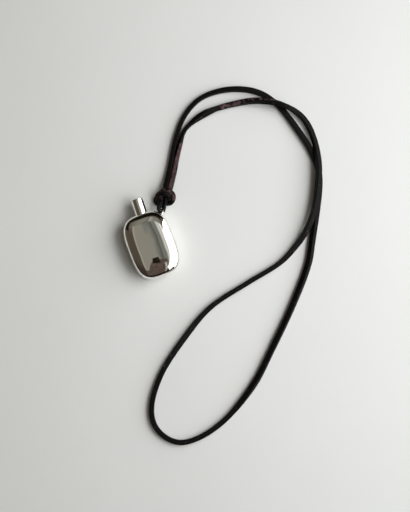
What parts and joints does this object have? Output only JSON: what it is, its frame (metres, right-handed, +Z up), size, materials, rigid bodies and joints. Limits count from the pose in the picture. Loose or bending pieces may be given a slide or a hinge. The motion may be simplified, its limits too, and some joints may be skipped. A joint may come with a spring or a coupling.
{
  "type": "bottle pendant",
  "caption": "Polished silver bottle pendant: a pillow-shaped body with a short round neck and a shoulder ring, hung from a whole loop of knotted square leather lace.",
  "frame": {"origin": "under the middle of the bottle's box, on the surface that the bottle lies on", "axes": "+Y along the bottle towards its neck, +X across it towards the ring, +Z up from its back"},
  "size_m": [0.1535, 0.1935, 0.0124],
  "materials": {
    "silver": "polished silver, lightly worn",
    "lace": "dark brown, waxed, satin"
  },
  "bodies": {
    "root": {"bottle": "silver", "lace_bight": "lace", "lace_knot": "lace", "lace_loop": "lace"}
  },
  "joints": []
}
